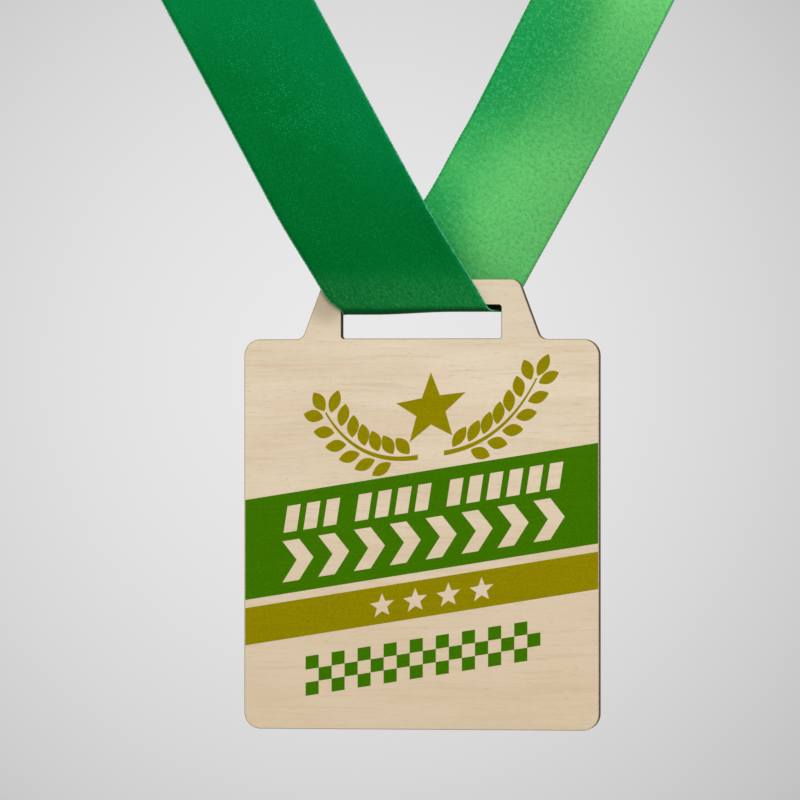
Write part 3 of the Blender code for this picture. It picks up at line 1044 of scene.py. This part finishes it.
def selvedge(name, grid, cloth, edge, finish):
    """The woven edge: a strand along it that swells where each weft turns back."""
    inwards = grid[:, 1 if edge == 0 else -2] - grid[:, edge]
    inwards /= np.linalg.norm(inwards, axis=1)[:, None]
    line, marks = grid[:, edge] + inwards * SELVEDGE_INSET, cloth[:, edge]
    run = np.concatenate([[0], np.cumsum(np.linalg.norm(np.diff(line, axis=0), axis=1))])
    wanted = np.arange(0, run[-1], 0.16 * MM)
    fine = np.stack([np.interp(wanted, run, line[:, k]) for k in range(3)], axis=1)
    s = np.interp(wanted, run, marks[:, 1])
    uneven = 0.6 + 0.4 * np.sin(s / (2.3 * MM)) * np.sin(s / (0.91 * MM))
    swell = np.sin(2 * math.pi * s / PICOT_PITCH) * uneven
    radii = (0.205 + 0.045 * swell) * MM
    points, faces = tube(fine, radii, STRAND_SIDES)
    made = put(name, points, faces, finish)
    inner = [int(s[min(k // STRAND_SIDES, len(s) - 1)] > 6 * MM) for k in range(len(faces) - 2)]
    made.data.polygons.foreach_set("material_index", inner + [0, 1])
    away = -np.stack([np.interp(wanted, run, inwards[:, k]) for k in range(3)], axis=1)
    from_line = np.array(points).reshape(len(fine), STRAND_SIDES, 3) - fine[:, None]
    outwards = np.einsum("rkc,rc->rk", from_line, away) / radii[:, None]
    float_attribute(made, "outwards", outwards.ravel())
    length = np.repeat(s / MM, STRAND_SIDES)
    t = np.tile(np.arange(STRAND_SIDES) * 0.2, len(s))
    vector_attribute(made, "cloth", np.stack([t, length, np.zeros_like(t)], axis=1))
    tidy_normals(made)
    return made


def stitches(name, side, finish):
    """A box of single stitches, each an arc from hole to hole over the lapped ends."""
    wide, high = STITCH_BOX_WIDTH / 2, STITCH_BOX_HEIGHT / 2
    corners = [(wide, -high), (wide, high), (-wide, high), (-wide, -high)]
    surface = NAPE_BACK + side * (SEAM_STEP / 2 + RIBBON_THICKNESS / 2)
    points, faces, marks = [], [], []
    for (x0, z0), (x1, z1) in zip(corners, corners[1:] + corners[:1]):
        length = math.dist((x0, z0), (x1, z1))
        count = round(length / STITCH_PITCH)
        for k in range(count):
            a, b = (k + 0.06) / count, (k + 0.94) / count
            line = []
            for step in range(11):
                at = a + (b - a) * step / 10
                arch = math.sin(math.pi * step / 10) if 0 < step < 10 else 0.0
                lift = (0.17 * arch**0.5 - 0.10 * (1 - arch)) * MM
                line.append((x0 + (x1 - x0) * at, surface + side * lift, NAPE_UP + z0 + (z1 - z0) * at))
            radii = [THREAD_RADIUS * (0.8 + 0.2 * math.sin(math.pi * step / 10)) for step in range(11)]
            more, quads = tube(line, radii)
            base = len(points)
            points += more
            faces += [tuple(base + i for i in quad) for quad in quads]
            marks += [(0.2 * (i % 8), 0.4 * (i // 8) + 3.7 * k, 0.0) for i in range(len(more))]
    made = put(name, points, faces, finish)
    vector_attribute(made, "cloth", marks)
    tidy_normals(made)
    return made


# ---------------------------------------------------------------- build

face_finish = maple("maple_face")
# The second colour of each scorched edge is for the slot's walls, darkened as painted shade.
burnt_edge = scorched("scorched_veneer_edge", (0.30, 0.20, 0.125, 1), (0.050, 0.028, 0.016, 1))
core_finish = scorched("scorched_core", (0.085, 0.050, 0.030, 1), (0.036, 0.020, 0.012, 1))
green_ink = ink("green_ink", (0.0405, 0.1470, 0.0003), (0.3, 1.0, 0.0, 1.0))
olive_ink = ink("olive_ink", (0.2490, 0.2030, 0.0005), (1.0, 0.9, 0.0, 1.0))
outer_satin = satin_face("green_satin_outer")
inner_satin = satin_back("green_satin_inner")
# Painted highlights for the edge strands' outward sides, where they catch the light.
pale_edge_highlight = (0.44, 0.82, 0.56, 1)
teal_picot_highlight = (0.085, 0.40, 0.23, 1)
green_edge_highlight = (0.0700, 0.330, 0.125, 1)
edge_yarn = yarn("selvedge_yarn", (0.0010, 0.105, 0.026, 1), (0.0040, 0.170, 0.050, 1), pale_edge_highlight)
picot_yarn = yarn("picot_yarn", (0.0015, 0.125, 0.034, 1), (0.020, 0.280, 0.140, 1), teal_picot_highlight, pitch=0.9)
inner_edge_yarn = yarn("inner_selvedge_yarn", (0.0060, 0.190, 0.040, 1), (0.0300, 0.290, 0.070, 1), pale_edge_highlight)
dark_edge_yarn = yarn("dark_selvedge_yarn", (0.0450, 0.300, 0.070, 1), (0.0900, 0.400, 0.110, 1), green_edge_highlight)
thread_finish = yarn("sewing_thread", (0.0020, 0.110, 0.024, 1), (0.006, 0.190, 0.045, 1), pitch=2.4)


def plate():
    y = PIVOT.y
    veneer = (face_finish, burnt_edge)
    front = ply("front_veneer_face", veneer_low.y - y, veneer_high.y - y, veneer, KERF_EASE, 0.0)
    core = ply("core_board_edge", core_low.y - y, core_high.y - y, (core_finish, core_finish), 0.0, 0.0)
    back = ply("back_veneer_face", back_low.y - y, back_high.y - y, veneer, 0.0, KERF_EASE)
    for made, node, where in (
        (front, "front_veneer", "maple_face"),
        (core, "core_board", "core_wood"),
        (back, "back_veneer", "maple_face"),
    ):
        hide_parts(node)
        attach(made, "medal")


def print_everything():
    ticks, x = [], TICKS_LEFT
    for group in (3, 4, 6):
        for unused in range(group):
            ticks.append(tick(x, *TICK_ROW, TICK_WIDTH, 0.75))
            x += TICK_PITCH
        x += TICK_GAP
    chevrons = [chevron(CHEVRONS_LEFT + CHEVRON_PITCH * k, *CHEVRON_ROW, 5.75, 3.1) for k in range(8)]
    print_film("green_band_print", [band(*GREEN_BAND)] + ticks + chevrons, green_ink)
    stars = [star(STARS_LEFT + STAR_PITCH * k, STAR_ROW, 2.35, 1.0) for k in range(4)]
    print_film("olive_band_print", [band(*OLIVE_BAND)] + stars, olive_ink)
    squares, size = [], CHEQUER_SIZE
    for row in range(3):
        for column in range(18):
            if (row + column) % 2 == 0:
                x0, z0 = CHEQUER_START[0] + size * column, CHEQUER_START[1] + size * row
                squares.append([(x0, z0), (x0 + size, z0), (x0 + size, z0 + size), (x0, z0 + size)])
    print_film("chequer_print", squares, green_ink)
    print_film("laurel_print", laurel_and_star(*LAUREL_FOOT), olive_ink)


def ribbon():
    grid, cloth = ribbon_rows()
    normal = surface_normals(grid)
    made = ribbon_mesh(grid, normal, cloth, (outer_satin, inner_satin))
    left = selvedge("left_selvedge", grid, cloth, 0, (edge_yarn, inner_edge_yarn))
    right = selvedge("right_selvedge", grid, cloth, -1, (picot_yarn, dark_edge_yarn))
    for one in (made, left, right):
        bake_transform(one)
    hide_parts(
        "ribbon_fold", "ribbon_front_bend", "ribbon_back_bend",
        "ribbon_left_leg", "ribbon_left_shoulder", "ribbon_left_nape",
        "ribbon_right_leg", "ribbon_right_shoulder", "ribbon_right_nape",
    )
    for name, side, node in (
        ("needle_stitches", BACK, "seam_needle_thread"),
        ("bobbin_stitches", FRONT, "seam_bobbin_thread"),
    ):
        sewn = stitches(name, side, thread_finish)
        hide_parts(node)
        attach(sewn, "ribbon")


plate()
print_everything()
ribbon()

# ---------------------------------------------------------------- camera, backdrop and light

CAMERA_DISTANCE = 1.2
CAMERA_AZIMUTH = math.radians(7.5)
VIEW_WIDTH = 0.14605
AIM_FROM_PIVOT = Vector((-3.89, -1.5, -22.05)) * MM

# The pool of light on the backdrop: how far its middle is right of and above straight ahead, and its falloff
POOL_PLACE = (-0.0077, 0.0046)
POOL_RADIUS = 0.0893
POOL_POWER = 1.7
POOL_LEVEL = 0.815
POOL_FALL = 0.2566
LEAST_LEVEL = 0.50

aim = PIVOT + AIM_FROM_PIVOT
towards = Vector((math.sin(CAMERA_AZIMUTH), -math.cos(CAMERA_AZIMUTH), 0.0))
camera_data = bpy.data.cameras.new("camera")
camera_data.sensor_width = 36.0
camera_data.lens = 36.0 * CAMERA_DISTANCE / VIEW_WIDTH
camera_data.clip_start = 0.05
camera_data.clip_end = 50.0
camera = bpy.data.objects.new("camera", camera_data)
camera.location = aim + towards * CAMERA_DISTANCE
camera.rotation_euler = (-towards).to_track_quat("-Z", "Y").to_euler()
bpy.context.scene.collection.objects.link(camera)
bpy.context.scene.camera = camera

view = bpy.context.scene.view_settings
view.view_transform = "Standard"
view.look = "None"


def backdrop():
    """A pale seamless backdrop with a soft pool of light behind the medal."""
    world = bpy.data.worlds.new("studio")
    bpy.context.scene.world = world
    world.use_nodes = True
    nodes = Nodes(world.node_tree)
    nodes.tree.nodes.clear()
    right = Vector((math.cos(CAMERA_AZIMUTH), math.sin(CAMERA_AZIMUTH), 0.0))
    ahead = (-towards + right * POOL_PLACE[0] + Vector((0, 0, POOL_PLACE[1]))).normalized()
    where = nodes.node("ShaderNodeTexCoord").outputs["Generated"]
    away = nodes.node("ShaderNodeVectorMath", {0: where, 1: ahead}, operation="DISTANCE").outputs["Value"]
    fall = nodes.math("POWER", nodes.math("DIVIDE", away, POOL_RADIUS), POOL_POWER)
    level = nodes.math("MULTIPLY_ADD", fall, -POOL_FALL, POOL_LEVEL)
    level = nodes.math("MAXIMUM", level, LEAST_LEVEL)
    colour = nodes.node("ShaderNodeCombineColor", {"Red": level, "Green": level, "Blue": level}).outputs[0]
    background = nodes.node("ShaderNodeBackground", {"Color": colour})
    nodes.node("ShaderNodeOutputWorld", {"Surface": background.outputs[0]})


def floor():
    shader = Shader("pale_floor")
    shader.bsdf.inputs["Base Color"].default_value = grey(0.72)
    shader.bsdf.inputs["Roughness"].default_value = 0.8
    steps, radius, depth = 64, 3.0, 0.95
    turns = [2 * math.pi * k / steps for k in range(steps)]
    ring = [(radius * math.cos(turn), radius * math.sin(turn), -depth) for turn in turns]
    made = put("floor", ring, [tuple(range(steps))], shader.material)


def light(name, direction, distance, size, power):
    """A soft square lamp out from the medal's middle along a direction, facing it."""
    data = bpy.data.lights.new(name, "AREA")
    data.shape = "RECTANGLE"
    data.size, data.size_y = size
    data.energy = power
    lamp = bpy.data.objects.new(name, data)
    target = PIVOT + Vector((0.0, 0.0, -20 * MM))
    way = Vector(direction).normalized()
    lamp.location = target + way * distance
    lamp.rotation_euler = way.to_track_quat("Z", "Y").to_euler()
    bpy.context.scene.collection.objects.link(lamp)
    return lamp


backdrop()
floor()
light("key_softbox", (0.22, -0.88, 0.42), 1.3, (0.7, 0.7), 6.2)
light("top_softbox", (0.10, -0.60, 0.90), 1.3, (0.9, 0.6), 8.5)
